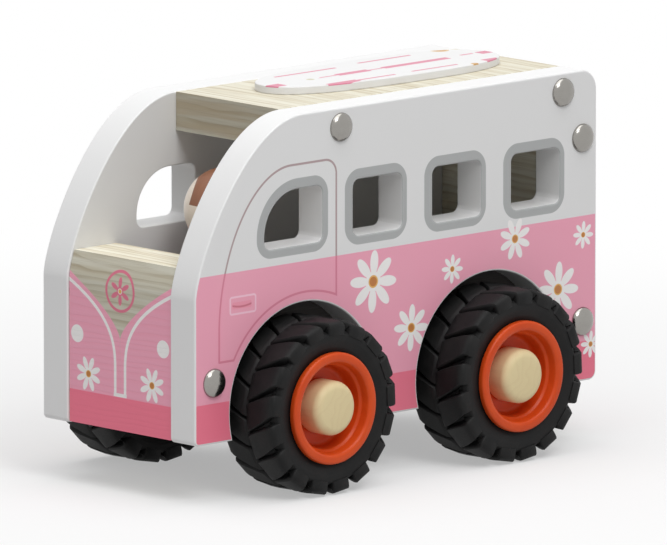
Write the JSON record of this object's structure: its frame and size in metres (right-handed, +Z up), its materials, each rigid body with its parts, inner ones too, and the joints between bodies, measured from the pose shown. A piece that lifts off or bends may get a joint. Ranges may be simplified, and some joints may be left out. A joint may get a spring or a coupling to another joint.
{
  "type": "wooden toy van",
  "caption": "Wooden toy van with painted side panels, pine roof and front, a roof surfboard, a ball-headed driver and free-rolling rubber wheels on wooden pegs.",
  "frame": {"origin": "on the ground under the middle of the van", "axes": "+X forward, +Y to the van's left, +Z up"},
  "size_m": [0.17, 0.1, 0.1187],
  "materials": {
    "painted_panel": "satin white and pink paint",
    "printed_front": "satin print on pine",
    "pine": "bare sanded pine",
    "black_stain": "matt black stain",
    "painted_board": "satin white paint with pink stripes",
    "doll_paint": "satin paint",
    "doll_head": "sealed wood with painted hair",
    "bright_nail": "polished",
    "tyre_rubber": "matte moulded rubber",
    "rim_plastic": "semi-gloss",
    "peg_wood": "smooth turned wood"
  },
  "bodies": {
    "body": {"left_side_panel": "painted_panel", "right_side_panel": "painted_panel", "front_block": "printed_front", "roof_block": "pine", "rear_panel": "pine", "chassis_block": "black_stain", "surfboard": "painted_board", "driver_body": "doll_paint", "driver_head": "doll_head", "dome_nail_left_roof_front": "bright_nail", "dome_nail_left_roof_rear": "bright_nail", "dome_nail_left_rear_upper": "bright_nail", "dome_nail_left_rear_lower": "bright_nail", "dome_nail_left_front": "bright_nail", "dome_nail_right_roof_front": "bright_nail", "dome_nail_right_roof_rear": "bright_nail", "dome_nail_right_rear_upper": "bright_nail", "dome_nail_right_rear_lower": "bright_nail", "dome_nail_right_front": "bright_nail", "axle_peg_front_left": "peg_wood", "axle_peg_front_right": "peg_wood", "axle_peg_rear_left": "peg_wood", "axle_peg_rear_right": "peg_wood"},
    "wheel_front_left": {"tyre_front_left": "tyre_rubber", "rim_front_left": "rim_plastic"},
    "wheel_front_right": {"tyre_front_right": "tyre_rubber", "rim_front_right": "rim_plastic"},
    "wheel_rear_left": {"tyre_rear_left": "tyre_rubber", "rim_rear_left": "rim_plastic"},
    "wheel_rear_right": {"tyre_rear_right": "tyre_rubber", "rim_rear_right": "rim_plastic"}
  },
  "joints": [
    {"name": "wheel_front_left_spin", "type": "hinge", "parent": "body", "child": "wheel_front_left", "pos_m": [0.0405, 0.0373, 0.027], "axis": [0, 1, 0], "continuous": true},
    {"name": "wheel_front_right_spin", "type": "hinge", "parent": "body", "child": "wheel_front_right", "pos_m": [0.0405, -0.0373, 0.027], "axis": [0, 1, 0], "continuous": true},
    {"name": "wheel_rear_left_spin", "type": "hinge", "parent": "body", "child": "wheel_rear_left", "pos_m": [-0.0391, 0.0373, 0.027], "axis": [0, 1, 0], "continuous": true},
    {"name": "wheel_rear_right_spin", "type": "hinge", "parent": "body", "child": "wheel_rear_right", "pos_m": [-0.0391, -0.0373, 0.027], "axis": [0, 1, 0], "continuous": true}
  ]
}
